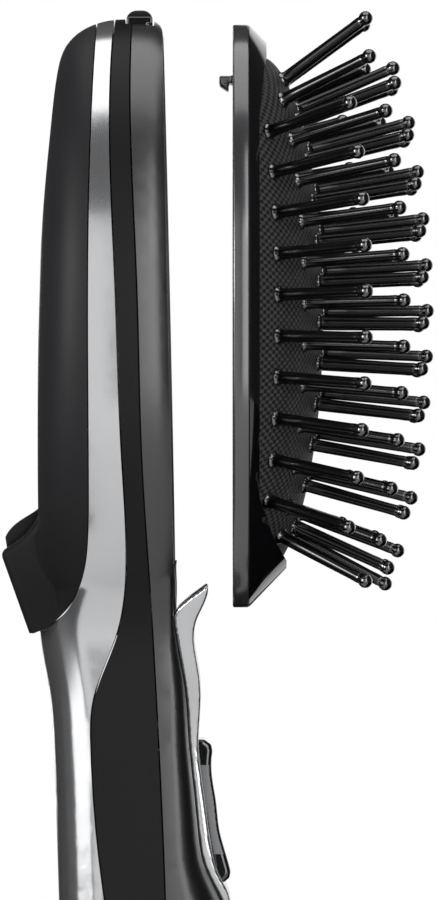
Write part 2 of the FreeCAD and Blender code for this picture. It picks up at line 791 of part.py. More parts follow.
parts["ion_grille"] = ion_grille()
parts["lead_wires"] = lead_wires()
parts["pad_plate"] = pad_plate()
parts["pad_bezel"] = pad_bezel()
parts["cushion"] = cushion()
for column in range(-(pin_columns // 2), pin_columns // 2 + 1):
    pins = [pin(root, facing) for root, facing in pin_places(column)]
    parts[f"pins_column_{column + pin_columns // 2 + 1}"] = Part.makeCompound(pins)

os.makedirs("parts", exist_ok=True)
for name, shape in parts.items():
    size = shape.BoundBox
    print(name, shape.isValid(), len(shape.Solids), round(shape.Volume, 1),
          [round(v, 1) for v in (size.XMin, size.XMax, size.YMin, size.YMax, size.ZMin, size.ZMax)])
    shape.exportStep(f"parts/{name}.step")
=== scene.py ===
"""Ionic styling brush on a plain studio floor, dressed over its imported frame."""
import json
import math

import bmesh
import bpy
from bpy.props import FloatProperty, FloatVectorProperty, IntProperty, PointerProperty
from mathutils import Matrix, Vector


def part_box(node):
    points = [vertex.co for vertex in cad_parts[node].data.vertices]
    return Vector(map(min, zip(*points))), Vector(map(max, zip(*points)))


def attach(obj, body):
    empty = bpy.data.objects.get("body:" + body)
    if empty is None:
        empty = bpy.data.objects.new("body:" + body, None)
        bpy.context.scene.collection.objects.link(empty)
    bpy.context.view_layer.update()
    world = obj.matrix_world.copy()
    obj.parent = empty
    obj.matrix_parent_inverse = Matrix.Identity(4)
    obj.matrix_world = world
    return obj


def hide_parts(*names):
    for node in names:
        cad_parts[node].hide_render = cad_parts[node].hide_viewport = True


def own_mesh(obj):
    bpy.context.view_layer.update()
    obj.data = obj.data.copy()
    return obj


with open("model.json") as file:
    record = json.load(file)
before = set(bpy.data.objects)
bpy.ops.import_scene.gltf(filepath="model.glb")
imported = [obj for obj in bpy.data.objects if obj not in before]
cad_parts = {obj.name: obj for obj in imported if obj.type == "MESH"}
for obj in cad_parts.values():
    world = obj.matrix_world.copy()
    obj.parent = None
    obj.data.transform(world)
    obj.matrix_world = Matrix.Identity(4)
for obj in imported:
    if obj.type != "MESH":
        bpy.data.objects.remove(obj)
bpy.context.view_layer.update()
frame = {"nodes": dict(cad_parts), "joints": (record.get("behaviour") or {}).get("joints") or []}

bl_info = {
    "name": "Ionic Styling Brush",
    "version": (1, 0, 0),
    "blender": (4, 5, 0),
    "location": "View3D > Sidebar > Brush",
    "description": "Dresses the packed brush: shells, switch, cushion, pins and a studio",
    "category": "Object",
}

MM = 0.001
WHITE = (1, 1, 1, 1)

# Angle in degrees from which an edge stays sharp, and facets across a bevelled edge
CREASE = 32
CUSHION_CREASE = 50
EDGE_FACETS = 3

# The cushion in millimetres: corners of its solid, height of its skirt, the sine of the angle where the
# solid's dome is cut off short of its tips, and the gap that keeps the mesh off the plate
CUSHION_LOW, CUSHION_HIGH = ([round(metres / MM, 2) for metres in corner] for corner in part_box("cushion"))
CUSHION_SKIRT = 1.8
CUSHION_CUT = math.sin(math.radians(80))
CUSHION_LIFT = 0.05

# Pins, as in the source of the solids, in millimetres: how far a column starts below the dome's upper tip,
# from the middle column outwards, how far it stays above the lower tip, and how far past the tips the
# columns would meet
PIN_COLUMNS = 7
PIN_FIRST = (10.7, 5.0, 9.4, 16.1)
PIN_END = 8.2
PIN_BOW = 3.0
# Share of the cushion's oval that holds pins, and shares of the dome's slope that they lean sideways and
# lengthways
PIN_MARGIN = 0.912
PIN_SPLAY = 0.9
PIN_FAN = 1.3
# Finishes of shaft, bead and ball, top of the bead in millimetres, and latitudes of the ball
PIN_LOOKS = ("glossy_nylon", "burnished_nylon", "dipped_nylon")
BEAD_TOP = 0.7
BALL_ANGLES = (-42, -22, 0, 22, 44, 66)

# The key: finishes of its ends and its sides, whose grey is a painted reflection of a hollow, how squarely
# a side faces across, and the shares of the key's height where the sides start and end
KEY_LOOKS = ("polished_black_abs", "key_sides_painted_reflection")
KEY_SQUARE = 0.93
KEY_PAINTED_SPAN = (0.2, 0.82)

# Heights in millimetres over which the shade painted on the rear cover fades, from full at the lower to none
# at the upper
HUMP_PAINTED_SHADE = (122, 152)

# Surroundings: what lights the brush, what its reflections see, and the backdrop's turn and soft edge
ROOM_LIGHT = (0.3, 0.3, 0.305, 1)
ROOM_REFLECTED = (0.05, 0.05, 0.05, 1)
BACKDROP_TURN = 0.6
BACKDROP_EDGE = (0.93, 1.01)


def linear(hexcode):
    """An sRGB hex colour as linear red, green, blue and alpha."""
    parts = [int(hexcode[i:i + 2], 16) / 255 for i in (1, 3, 5)]
    return tuple(v / 12.92 if v <= 0.04045 else ((v + 0.055) / 1.055) ** 2.4 for v in parts) + (1.0,)


def colour(name, hexcode, description):
    """A colour that a user can change."""
    return FloatVectorProperty(name=name, description=description, subtype="COLOR", size=4,
                               min=0.0, max=1.0, default=linear(hexcode))


def length(name, millimetres, description):
    """A size that a user can change."""
    return FloatProperty(name=name, description=description, default=millimetres * MM, min=0.0,
                         unit="LENGTH", subtype="DISTANCE", precision=5)


# What a user would change

class BRUSH_PG_pad(bpy.types.PropertyGroup):
    """Sizes of the bristle pad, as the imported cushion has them."""
    middle: length("Middle height", (CUSHION_LOW[2] + CUSHION_HIGH[2]) / 2,
                   "Height of the pad's middle where it has been pulled to")
    foot: length("Cushion foot", CUSHION_LOW[0], "X of the plate's face that the cushion stands on")
    base: length("Dome base", CUSHION_LOW[0] + CUSHION_SKIRT, "X where the dome springs from its skirt")
    crown: length("Crown", CUSHION_HIGH[0] - CUSHION_LOW[0] - CUSHION_SKIRT,
                  "How far the dome rises in the middle")
    half_length: length("Half length", round((CUSHION_HIGH[2] - CUSHION_LOW[2]) / 2 / CUSHION_CUT, 2),
                        "Half the cushion's length, to the tips of its dome")
    half_width: length("Half width", CUSHION_HIGH[1], "Half the cushion's width")
    dimple: length("Dimple pitch", 1.4, "Spacing of the raised diamonds in the rubber")


class BRUSH_PG_pins(bpy.types.PropertyGroup):
    """Sizes and set of the pins."""
    reach: length("Length", 22.2, "Length of a pin outside the cushion")
    root: length("Root diameter", 2.5, "Shaft diameter at the cushion")
    tip: length("Tip diameter", 2.2, "Shaft diameter just under the ball")
    ball: length("Ball diameter", 2.9, "Diameter of the ball tip")
    collar: length("Collar diameter", 3.5, "Diameter of the bead round each root")
    pitch: length("Pitch", 8.07, "Spacing of the pins in a column")
    spread: length("Spread", 49.5, "Width over the two outer columns")
    sides: IntProperty(name="Sides", description="Sides of a pin's round", default=14, min=6, max=32)


class BRUSH_PG_finishes(bpy.types.PropertyGroup):
    """Colours of the finishes."""
    soft_touch: colour("Soft touch", "#1d1d1f", "Rubbery lacquer of the rear cover")
    silver: colour("Silver", "#c6c7c9", "Metallic lacquer of the frame, battery cover and collar")
    satin: colour("Satin black", "#0e0e10", "Moulded black of the middle shell, outlet and inner pieces")
    gloss: colour("Gloss black", "#08080a", "Black of the front shell, bezel, key and button")
    # The key's grey is a painted reflection of a hollow on its flat sides
    key: colour("Key grey", "#7a7b7d", "Grey of the key's sides")
    plate: colour("Plate grey", "#2b2c2e", "Gunmetal of the pad's plate")
    rubber: colour("Rubber", "#333335", "Rubber of the cushion")
    nylon: colour("Nylon", "#060607", "Nylon of the pins")
    steel: colour("Steel", "#c4c6c8", "Plating of screws, spring and contacts")
    jacket: colour("Cell jacket", "#8d8f92", "Metal jacket of the cells")
    board: colour("Board green", "#1d4a2f", "Solder mask of the circuit board")


class BRUSH_PG_stage(bpy.types.PropertyGroup):
    """Camera and floor."""
    distance: length("Camera distance", 1150.0, "How far the camera stands from the brush's middle plane")
    view_height: length("View height", 180.0, "What the picture shows from bottom to top")
    aside: length("Picture middle X", 15.7, "X of the picture's middle")
    height: length("Picture middle height", 152.0, "Height of the picture's middle")
    floor: colour("Floor", "#e9e9e8", "Pale floor")
    floor_radius: length("Floor radius", 600.0, "Radius of the floor")


# Mesh helpers

def smooth_faces(bm):
    """Shades every face smooth, in the piece's first finish."""
    for face in bm.faces:
        face.smooth = True
        face.material_index = 0


def crease_edges(bm, degrees):
    """Keeps the edges sharp whose faces meet at an angle or more."""
    limit = math.radians(degrees)
    for edge in bm.edges:
        edge.smooth = edge.is_manifold and edge.calc_face_angle(0.0) < limit


def merged(node):
    """A CAD node as one welded bmesh, shaded smooth up to the crease angle."""
    bm = bmesh.new()
    bm.from_mesh(frame["nodes"][node].data)
    bmesh.ops.remove_doubles(bm, verts=bm.verts, dist=0.002 * MM)
    bmesh.ops.dissolve_degenerate(bm, dist=0.001 * MM, edges=bm.edges)
    smooth_faces(bm)
    crease_edges(bm, CREASE)
    return bm


def softened(node, width):
    """A CAD node welded, its flats joined and its edges bevelled to a width in metres."""
    bm = merged(node)
    bmesh.ops.dissolve_limit(bm, angle_limit=math.radians(1.0), verts=bm.verts, edges=bm.edges)
    limit = math.radians(CREASE)
    sharp = [edge for edge in bm.edges if edge.is_manifold and edge.calc_face_angle(0.0) > limit]
    bmesh.ops.bevel(bm, geom=sharp, offset=width, offset_type="OFFSET", affect="EDGES", segments=EDGE_FACETS,
                    profile=0.5, material=-1, clamp_overlap=True)
    smooth_faces(bm)
    crease_edges(bm, CREASE)
    return bm


def rounded(node, voxel, passes):
    """A CAD node with every edge rubbed round: remeshed at a voxel size in metres, then smoothed."""
    bm = merged(node)
    mesh = bpy.data.meshes.new("rounding")
    bm.to_mesh(mesh)
    bm.clear()
    blank = bpy.data.objects.new("rounding", mesh)
    bpy.context.scene.collection.objects.link(blank)
    cells = blank.modifiers.new("cells", "REMESH")
    cells.mode = "VOXEL"
    cells.voxel_size = voxel
    ease = blank.modifiers.new("ease", "SMOOTH")
    ease.factor = 0.5
    ease.iterations = passes
    bm.from_object(blank, bpy.context.evaluated_depsgraph_get())
    bpy.data.objects.remove(blank)
    bpy.data.meshes.remove(mesh)
    smooth_faces(bm)
    return bm


def piece(bm, name, looks, body, node):
    """Makes an object of a bmesh in its finishes, riding on its body in place of a CAD node."""
    mesh = bpy.data.meshes.new(name)
    bm.to_mesh(mesh)
    bm.free()
    # The solid's own normals would show through the new shading
    for stale in ("custom_normal", "sharp_face"):
        if stale in mesh.attributes:
            mesh.attributes.remove(mesh.attributes[stale])
    for look in looks:
        mesh.materials.append(finish(look))
    obj = bpy.data.objects.new(name, mesh)
    bpy.context.scene.collection.objects.link(obj)
    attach(obj, body)
    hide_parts(node)
    return obj


# Material helpers

def tones():
    """The colours of the finishes, as the user has them."""
    return bpy.context.scene.brush_finishes


def scaled(tone, share):
    """A colour made darker or lighter."""
    return [share * part for part in tone[:3]] + [1]


def add(tree, kind, links=None, **values):
    """Adds a node, with its settings, and gives its inputs a value or a link."""
    made = tree.nodes.new(kind)
    for key, value in values.items():
        setattr(made, key, value)
    for key, value in (links or {}).items():
        if isinstance(value, bpy.types.NodeSocket):
            tree.links.new(value, made.inputs[key])
        else:
            made.inputs[key].default_value = value
    return made


def new_finish(name):
    """A material, its empty node tree and its Object coordinates."""
    material = bpy.data.materials.new(name)
    material.use_nodes = True
    tree = material.node_tree
    tree.nodes.clear()
    place = add(tree, "ShaderNodeTexCoord")
    return material, tree, place.outputs["Object"]


def surfaced(material, sockets):
    """Ends a material in one shader whose inputs are given a value or a link."""
    tree = material.node_tree
    shader = add(tree, "ShaderNodeBsdfPrincipled", sockets)
    add(tree, "ShaderNodeOutputMaterial", {"Surface": shader.outputs["BSDF"]})
    return material


# Finishes

def soft_touch_lacquer():
    """Soft-touch polyurethane over moulded ABS: dark, dry and even, with a fine tooth and a faint bloom, and
    with painted shade over the hump.
    """
    material, tree, place = new_finish("soft_touch_lacquer")
    tone = tones().soft_touch
    cloud = add(tree, "ShaderNodeTexNoise", {"Vector": place, "Scale": 1 / (18 * MM), "Detail": 3.0})
    tint = add(tree, "ShaderNodeMix", {"Factor": cloud.outputs["Fac"], "A": scaled(tone, 0.86),
                                       "B": scaled(tone, 1.16)}, data_type="RGBA")
    # Tooth of about 0.15 mm, drawn at 0.3 mm so that it shows
    tooth = add(tree, "ShaderNodeTexNoise", {"Vector": place, "Scale": 1 / (0.3 * MM), "Detail": 2.0})
    bump = add(tree, "ShaderNodeBump", {"Height": tooth.outputs["Fac"], "Strength": 0.18,
                                        "Distance": 0.05 * MM})
    even = add(tree, "ShaderNodeMapRange", {"Value": cloud.outputs["Fac"], "To Min": 0.4, "To Max": 0.48})
    # Painted shade: darker and duller down over the hump to its foot
    height = add(tree, "ShaderNodeSeparateXYZ", {"Vector": place})
    fade = {"Value": height.outputs["Z"], "From Min": HUMP_PAINTED_SHADE[0] * MM, "From Max": HUMP_PAINTED_SHADE[1] * MM}
    dark = add(tree, "ShaderNodeMapRange", {**fade, "To Min": 0.25, "To Max": 1.0},
               interpolation_type="SMOOTHSTEP")
    dull = add(tree, "ShaderNodeMapRange", {**fade, "To Min": 0.2, "To Max": 0.0},
               interpolation_type="SMOOTHSTEP")
    rough = add(tree, "ShaderNodeMath", {0: even.outputs["Result"], 1: dull.outputs["Result"]},
                operation="ADD")
    # Painted shade: the colour mixes towards black over the hump
    base = add(tree, "ShaderNodeMix", {"Factor": dark.outputs["Result"], "A": (0, 0, 0, 1),
                                       "B": tint.outputs["Result"]}, data_type="RGBA")
    return surfaced(material, {"Base Color": base.outputs["Result"], "Roughness": rough.outputs[0],
                               "Normal": bump.outputs["Normal"], "IOR": 1.45, "Specular IOR Level": 0.2,
                               "Sheen Weight": 0.08, "Sheen Roughness": 0.4})


def metallic_lacquer():
    """Aluminium flake lacquer sprayed on ABS, under a thin clear coat: silver with soft, wide reflections."""
    material, tree, place = new_finish("metallic_lacquer")
    tone = tones().silver
    # Flakes of about 0.05 mm, drawn at 0.22 mm so that they show
    flake = add(tree, "ShaderNodeTexVoronoi", {"Vector": place, "Scale": 1 / (0.22 * MM)})
    drift = add(tree, "ShaderNodeTexNoise", {"Vector": place, "Scale": 1 / (25 * MM), "Detail": 2.0})
    tint = add(tree, "ShaderNodeMix", {"Factor": flake.outputs["Distance"], "A": scaled(tone, 0.985),
                                       "B": scaled(tone, 1.015)}, data_type="RGBA")
    rough = add(tree, "ShaderNodeMapRange", {"Value": drift.outputs["Fac"], "To Min": 0.17, "To Max": 0.185})
    bump = add(tree, "ShaderNodeBump", {"Height": flake.outputs["Distance"], "Strength": 0.003,
                                        "Distance": 0.03 * MM})
    return surfaced(material, {"Base Color": tint.outputs["Result"], "Roughness": rough.outputs["Result"],
                               "Normal": bump.outputs["Normal"], "Metallic": 0.92, "Coat Weight": 0.12,
                               "Coat Roughness": 0.15})


def moulded(name, tone, rough, grain, relief, gloss=0.5, coat=0.0, clear=0.04, coat_index=1.5):
    """Plastic as the mould leaves it, with slight flow marks.

    It takes the lowest and highest roughness, the grain in millimetres and its relief, the plastic's own
    gloss, and the weight, roughness and index of a clear coat.
    """
    material, tree, place = new_finish(name)
    flow = add(tree, "ShaderNodeTexNoise", {"Vector": place, "Scale": 1 / (14 * MM), "Detail": 3.0})
    spark = add(tree, "ShaderNodeTexNoise", {"Vector": place, "Scale": 1 / (grain * MM), "Detail": 2.0})
    tint = add(tree, "ShaderNodeMix", {"Factor": flow.outputs["Fac"], "A": scaled(tone, 0.85),
                                       "B": scaled(tone, 1.2)}, data_type="RGBA")
    worn = add(tree, "ShaderNodeMapRange", {"Value": flow.outputs["Fac"], "To Min": rough[0],
                                            "To Max": rough[1]})
    bump = add(tree, "ShaderNodeBump", {"Height": spark.outputs["Fac"], "Strength": relief,
                                        "Distance": 0.05 * MM})
    return surfaced(material, {"Base Color": tint.outputs["Result"], "Roughness": worn.outputs["Result"],
                               "Normal": bump.outputs["Normal"], "IOR": 1.52, "Specular IOR Level": gloss,
                               "Coat Weight": coat, "Coat Roughness": clear, "Coat IOR": coat_index})


def satin_black_abs():
    """ABS from a spark-eroded mould: an even, dull black with hardly a reflection."""
    return moulded("satin_black_abs", tones().satin, rough=(0.38, 0.46), grain=0.35, relief=0.12, gloss=0.16)


def key_sides_painted_reflection():
    """Painted reflection: grey laid on the key's flat sides, lighter than its polished ends, standing in for
    the reflection of a hollow, on a satin moulded plastic.
    """
    return moulded("key_sides_painted_reflection", tones().key, rough=(0.34, 0.42), grain=0.35, relief=0.08, gloss=0.4)


def polished_black_abs():
    """ABS from a polished mould: deep black with sharp reflections."""
    return moulded("polished_black_abs", tones().gloss, rough=(0.07, 0.12), grain=5.0, relief=0.03,
                   coat=1.0)


def semi_gloss_black_abs():
    """ABS under a half-matt clear coat: black with broad, blurred reflections."""
    return moulded("semi_gloss_black_abs", tones().gloss, rough=(0.28, 0.34), grain=0.8, relief=0.03,
                   coat=1.0, clear=0.3, coat_index=1.54)


def gunmetal_lacquer():
    """Dark grey lacquer under a clear coat: a soft sheen that runs along the pad's edge."""
    return moulded("gunmetal_lacquer", tones().plate, rough=(0.2, 0.26), grain=0.4, relief=0.04,
                   coat=1.0, clear=0.16, coat_index=1.6)


def glossy_nylon():
    """Moulded nylon of the shafts: black with a narrow streak of light."""
    return moulded("glossy_nylon", tones().nylon, rough=(0.12, 0.2), grain=1.2, relief=0.03, gloss=0.42)


def burnished_nylon():
    """Nylon rubbed bright at the roots: a light rim on each bead. The index is raised so that it shows."""
    return moulded("burnished_nylon", tones().nylon, rough=(0.08, 0.12), grain=1.2, relief=0.02,
                   coat=1.0, clear=0.08, coat_index=2.2)


def dipped_nylon():
    """Nylon dipped in lacquer: bright points on the balls. The index is raised so that they show."""
    return moulded("dipped_nylon", tones().nylon, rough=(0.08, 0.12), grain=1.2, relief=0.02,
                   coat=1.0, clear=0.06, coat_index=1.8)


def circuit_board():
    """Solder mask over glass fibre: half-dull green."""
    return moulded("circuit_board", tones().board, rough=(0.35, 0.45), grain=0.5, relief=0.1)


def dimpled_rubber():
    """Moulded silicone rubber: dull and dark, with small raised diamonds set on their points, their tops
    painted lighter and the hollows between them painted darker as painted light and shade.
    """
    material, tree, place = new_finish("dimpled_rubber")
    tone = tones().rubber
    waves = 2 * math.pi / bpy.context.scene.brush_pad.dimple
    stretched = add(tree, "ShaderNodeMapping", {"Vector": place, "Scale": (1, waves, waves)})
    parts = add(tree, "ShaderNodeSeparateXYZ", {"Vector": stretched.outputs["Vector"]})
    rows = add(tree, "ShaderNodeMath", {0: parts.outputs["Y"]}, operation="SINE")
    files = add(tree, "ShaderNodeMath", {0: parts.outputs["Z"]}, operation="SINE")
    both = add(tree, "ShaderNodeMath", {0: rows.outputs[0], 1: files.outputs[0]}, operation="MULTIPLY")
    height = add(tree, "ShaderNodeMapRange", {"Value": both.outputs[0], "From Min": -0.5, "From Max": 0.5},
                 interpolation_type="SMOOTHSTEP")
    # Painted light and shade: the diamonds' tops are lighter and the hollows between them darker
    tint = add(tree, "ShaderNodeMix", {"Factor": height.outputs["Result"], "A": scaled(tone, 0.25),
                                       "B": scaled(tone, 1.7)}, data_type="RGBA")
    bump = add(tree, "ShaderNodeBump", {"Height": height.outputs["Result"], "Strength": 0.8,
                                        "Distance": 0.25 * MM})
    dust = add(tree, "ShaderNodeTexNoise", {"Vector": place, "Scale": 1 / (3 * MM), "Detail": 3.0})
    rough = add(tree, "ShaderNodeMapRange", {"Value": dust.outputs["Fac"], "To Min": 0.5, "To Max": 0.64})
    return surfaced(material, {"Base Color": tint.outputs["Result"], "Roughness": rough.outputs["Result"],
                               "Normal": bump.outputs["Normal"], "IOR": 1.42})


def bare_metal(name, tone, rough, grain):
    """Drawn or stamped metal, with marks as wide as the grain in millimetres."""
    material, tree, place = new_finish(name)
    marks = add(tree, "ShaderNodeTexNoise", {"Vector": place, "Scale": 1 / (grain * MM), "Detail": 4.0})
    tint = add(tree, "ShaderNodeMix", {"Factor": marks.outputs["Fac"], "A": scaled(tone, 0.8), "B": tone},
               data_type="RGBA")
    worn = add(tree, "ShaderNodeMapRange", {"Value": marks.outputs["Fac"], "To Min": 0.8 * rough,
                                            "To Max": 1.2 * rough})
    return surfaced(material, {"Base Color": tint.outputs["Result"], "Roughness": worn.outputs["Result"],
                               "Metallic": 1.0})


def plated_steel():
    """Nickel-plated steel wire and strip: bright, with fine marks from the die."""
    return bare_metal("plated_steel", tones().steel, rough=0.28, grain=0.6)


def cell_jacket():
    """Plain metal jacket of a cell: greyer than the plating, with softer reflections."""
    return bare_metal("cell_jacket", tones().jacket, rough=0.35, grain=1.5)


def matt_paper():
    """Matt background paper: pale and even, with a trace of fibre."""
    material, tree, place = new_finish("matt_paper")
    tone = bpy.context.scene.brush_stage.floor
    fibre = add(tree, "ShaderNodeTexNoise", {"Vector": place, "Scale": 1 / (2 * MM), "Detail": 3.0})
    tint = add(tree, "ShaderNodeMix", {"Factor": fibre.outputs["Fac"], "A": scaled(tone, 0.97), "B": tone},
               data_type="RGBA")
    return surfaced(material, {"Base Color": tint.outputs["Result"], "Roughness": 0.9})


def black_card():
    """Black studio card, which swallows nearly all light."""
    material = new_finish("black_card")[0]
    return surfaced(material, {"Base Color": linear("#0c0c0c"), "Roughness": 0.9, "Specular IOR Level": 0.0})


FINISHES = {maker.__name__: maker for maker in (
    soft_touch_lacquer, metallic_lacquer, satin_black_abs, key_sides_painted_reflection, polished_black_abs,
    semi_gloss_black_abs, gunmetal_lacquer, glossy_nylon, burnished_nylon, dipped_nylon, circuit_board,
    dimpled_rubber, plated_steel, cell_jacket, matt_paper, black_card)}


def finish(name):
    """A finish by its name, made the first time it is asked for."""
    return bpy.data.materials.get(name) or FINISHES[name]()


# Pieces

class BRUSH_OT_shells(bpy.types.Operator):
    """Rear cover, silver frame, battery cover, middle and front shell"""
    bl_idname = "brush.shells"
    bl_label = "Shells"

    def execute(self, context):
        for node, look, slot, body in (
                ("rear_cover", "soft_touch_lacquer", "soft_touch_black", "handle"),
                ("silver_frame", "metallic_lacquer", "satin_silver", "handle"),
                ("battery_cover", "metallic_lacquer", "satin_silver", "battery_door"),
                ("mid_shell", "satin_black_abs", "satin_black", "handle"),
                ("front_shell", "semi_gloss_black_abs", "gloss_black", "handle")):
            piece(merged(node), f"dressed_{node}", [look], body, node)
        return {"FINISHED"}


class BRUSH_OT_controls(bpy.types.Operator):
    """Silver collar, switch key, release button and the louvres of the ion outlet"""
    bl_idname = "brush.controls"
    bl_label = "Controls"

    def paint_reflection_on_sides(self, bm):
        """Gives the flat sides of the key, between its polished ends, the second finish, whose grey is a
        painted reflection of a hollow.
        """
        heights = [vert.co.z for vert in bm.verts]
        low, tall = min(heights), max(heights) - min(heights)
        start, end = KEY_PAINTED_SPAN
        for face in bm.faces:
            share = (face.calc_center_median().z - low) / tall
            face.material_index = int(abs(face.normal.y) > KEY_SQUARE and start < share < end)

    def execute(self, context):
        # The last two columns are the voxel in millimetres and the passes of smoothing
        for node, looks, slot, body, voxel, passes in (
                ("switch_collar", ("metallic_lacquer",), "satin_silver", "handle", 0.2, 45),
                ("switch_slider", KEY_LOOKS, "gloss_black", "switch", 0.15, 20),
                ("release_button", ("polished_black_abs",), "gloss_black", "release", 0.15, 8)):
            bm = rounded(node, voxel * MM, passes)
            if looks == KEY_LOOKS:
                self.paint_reflection_on_sides(bm)
            piece(bm, f"dressed_{node}", looks, body, node)
        piece(softened("ion_grille", 0.2 * MM), "dressed_ion_grille", ["satin_black_abs"], "handle",
              "ion_grille")
        return {"FINISHED"}


class BRUSH_OT_pad_frame(bpy.types.Operator):
    """Plate and bezel of the bristle pad"""
    bl_idname = "brush.pad_frame"
    bl_label = "Pad frame"

    def execute(self, context):
        # The last column is the width of the bevelled edges in millimetres
        for node, look, slot, edge in (("pad_plate", "gunmetal_lacquer", "plate_grey", 0.4),
                                       ("pad_bezel", "polished_black_abs", "gloss_black", 0.5)):
            piece(softened(node, edge * MM), f"dressed_{node}", [look], "brush_pad", node)
        return {"FINISHED"}


def dome_arc(pad):
    """Radius of the dome's round across the pad's middle."""
    return (pad.half_width ** 2 + pad.crown ** 2) / (2 * pad.crown)


def dome_spot(pad, y, z):
    """Where the dome is at y and z from the pad's middle, and which way a pin points there."""
    arc = dome_arc(pad)
    share = math.sqrt(max(0.0, 1 - (z / pad.half_length) ** 2))
    root = math.sqrt((arc * share) ** 2 - y ** 2)
    x = pad.base - (arc - pad.crown) * share + root
    aside = PIN_SPLAY * math.atan2(y, root)
    upward = PIN_FAN * math.atan(pad.crown * z / (pad.half_length ** 2 * share))
    facing = Vector((math.cos(aside) * math.cos(upward), math.sin(aside), math.cos(aside) * math.sin(upward)))
    return Vector((x, y, pad.middle + z)), facing


class BRUSH_OT_cushion(bpy.types.Operator):
    """Domed rubber cushion with its skirt"""
    bl_idname = "brush.cushion"
    bl_label = "Cushion"

    def execute(self, context):
        pad = context.scene.brush_pad
        arc = dome_arc(pad)
        widest = math.asin(pad.half_width / arc)
        bm = bmesh.new()
        bmesh.ops.create_uvsphere(bm, u_segments=128, v_segments=96, radius=1.0)
        bmesh.ops.bisect_plane(bm, geom=bm.verts[:] + bm.edges[:] + bm.faces[:], plane_co=(0, 0, 0),
                               plane_no=(1, 0, 0), clear_inner=True, dist=1e-5)
        # The half sphere's rings become arcs across the pad, each as high as an ellipse along it
        for vert in bm.verts:
            share = math.sqrt(max(0.0, 1 - vert.co.z ** 2))
            at_tip = share <= 1e-4
            turn = 0.0 if at_tip else math.atan2(vert.co.y, max(vert.co.x, 0.0)) / (math.pi / 2) * widest
            vert.co = (pad.base + share * (arc * math.cos(turn) - (arc - pad.crown)),
                       share * arc * math.sin(turn), pad.middle + pad.half_length * vert.co.z)
        rim = [edge for edge in bm.edges if edge.is_boundary]
        skirt = bmesh.ops.extrude_edge_only(bm, edges=rim)
        for vert in skirt["geom"]:
            if isinstance(vert, bmesh.types.BMVert):
                vert.co.x = pad.foot + CUSHION_LIFT * MM
        bmesh.ops.holes_fill(bm, edges=[edge for edge in bm.edges if edge.is_boundary], sides=0)
        bmesh.ops.recalc_face_normals(bm, faces=bm.faces)
        smooth_faces(bm)
        crease_edges(bm, CUSHION_CREASE)
        obj = piece(bm, "dimpled_cushion", ["dimpled_rubber"], "brush_pad", "cushion")
        return {"FINISHED"}


class BRUSH_OT_pins(bpy.types.Operator):
    """Seven columns of ball-tipped pins, each with a bead at its root"""
    bl_idname = "brush.pins"
    bl_label = "Pins"

    def turned_pin(self, size):
        """One pin, spun round +Z from its profile, with its root at the origin."""
        bm = bmesh.new()
        ball, middle = size.ball / 2, size.reach - size.ball / 2
        # Radius and height of the bead, which starts inside the rubber, then of the shaft and the ball
        profile = [(0.0, -2.0 * MM), (0.42 * size.collar, -1.2 * MM), (0.5 * size.collar, -0.3 * MM),
                   (0.5 * size.collar, 0.15 * MM), (0.46 * size.collar, 0.42 * MM)]
        profile += [(0.56 * size.root, 0.62 * MM), (0.5 * size.root, 1.0 * MM), (0.49 * size.root, 5 * MM),
                    (0.5 * size.tip, middle - 3.2 * MM), (0.52 * size.tip, middle - 1.6 * MM)]
        for turn in map(math.radians, BALL_ANGLES):
            profile.append((ball * math.cos(turn), middle + ball * math.sin(turn)))
        profile.append((0.0, size.reach))
        line = [bm.verts.new((radius, 0, height)) for radius, height in profile]
        edges = [bm.edges.new(pair) for pair in zip(line, line[1:])]
        bmesh.ops.spin(bm, geom=line + edges, cent=(0, 0, 0), axis=(0, 0, 1), angle=2 * math.pi,
                       steps=size.sides, use_merge=True)
        bmesh.ops.remove_doubles(bm, verts=bm.verts, dist=0.01 * MM)
        bmesh.ops.recalc_face_normals(bm, faces=bm.faces)
        smooth_faces(bm)
        for face in bm.faces:
            height = face.calc_center_median().z
            if height < BEAD_TOP * MM:
                face.material_index = 1
            elif height > size.reach - size.ball:
                face.material_index = 2
        return bm

    def places(self, pad, size, column):
        """Roots of one column and where they point; columns draw together towards the cushion's ends."""
        side = PIN_COLUMNS // 2
        z = pad.half_length - PIN_FIRST[abs(column)] * MM
        while z > -pad.half_length:
            held = max(z, PIN_END * MM - pad.half_length)
            bow = math.sqrt(1 - (held / (pad.half_length + PIN_BOW * MM)) ** 2)
            y = column / side * size.spread / 2 * bow
            if (z / pad.half_length) ** 2 + (y / pad.half_width) ** 2 < PIN_MARGIN:
                yield dome_spot(pad, y, held)
            z -= size.pitch

    def execute(self, context):
        pad, size = context.scene.brush_pad, context.scene.brush_pins
        model = self.turned_pin(size)
        mesh = bpy.data.meshes.new("pin_model")
        model.to_mesh(mesh)
        model.free()
        side = PIN_COLUMNS // 2
        for column in range(-side, side + 1):
            bm = bmesh.new()
            for spot, facing in self.places(pad, size, column):
                start = len(bm.verts)
                bm.from_mesh(mesh)
                bm.verts.ensure_lookup_table()
                turn = facing.to_track_quat("Z", "Y").to_matrix().to_4x4()
                bmesh.ops.transform(bm, matrix=Matrix.Translation(spot) @ turn, verts=bm.verts[start:])
            node = f"pins_column_{column + side + 1}"
            piece(bm, f"ball_tipped_{node}", PIN_LOOKS, "brush_pad", node)
        bpy.data.meshes.remove(mesh)
        return {"FINISHED"}


